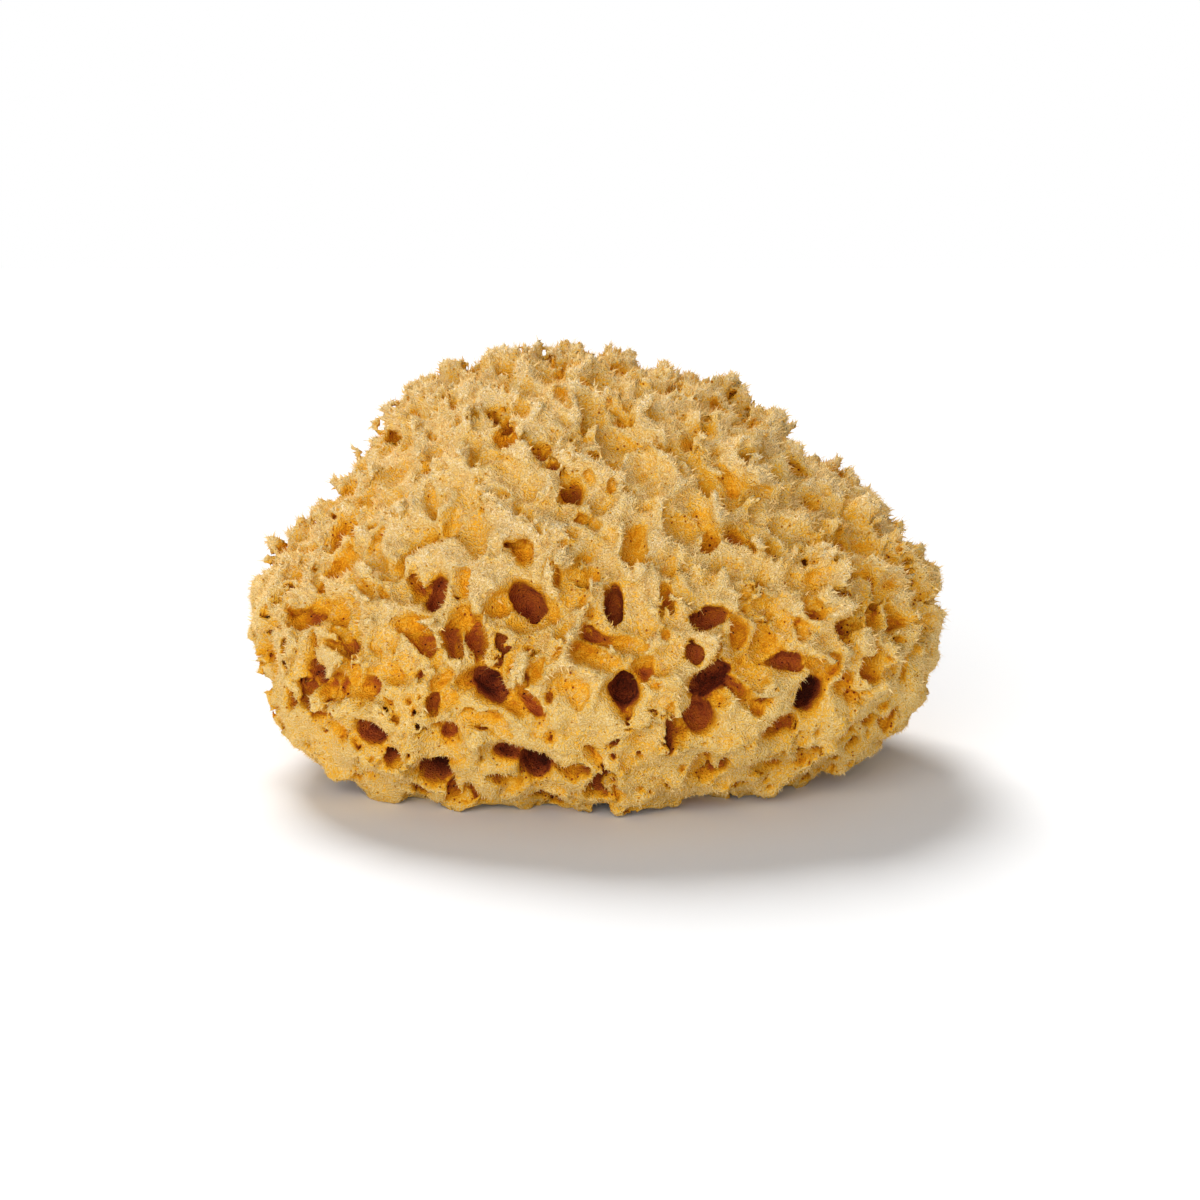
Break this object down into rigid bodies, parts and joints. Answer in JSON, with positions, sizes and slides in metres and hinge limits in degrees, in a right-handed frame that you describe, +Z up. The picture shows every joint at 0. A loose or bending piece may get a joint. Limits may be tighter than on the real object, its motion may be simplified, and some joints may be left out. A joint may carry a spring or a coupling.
{
  "type": "sea sponge",
  "caption": "Natural honeycomb sea sponge: a domed, soft fibrous lump with frayed tufts and deep pits, cut flat underneath, for bathing and washing.",
  "frame": {"origin": "on the flat cut base, under the middle of the sponge's bounding box", "axes": "+X along the sponge's width, to the right as seen from the front; +Y to the back; +Z up from the cut base"},
  "size_m": [0.12, 0.0958, 0.0745],
  "materials": {
    "sponge": "matte, fibrous, pale at the tips and red-brown in the pits"
  },
  "bodies": {
    "root": {"sponge": "sponge"}
  },
  "joints": []
}
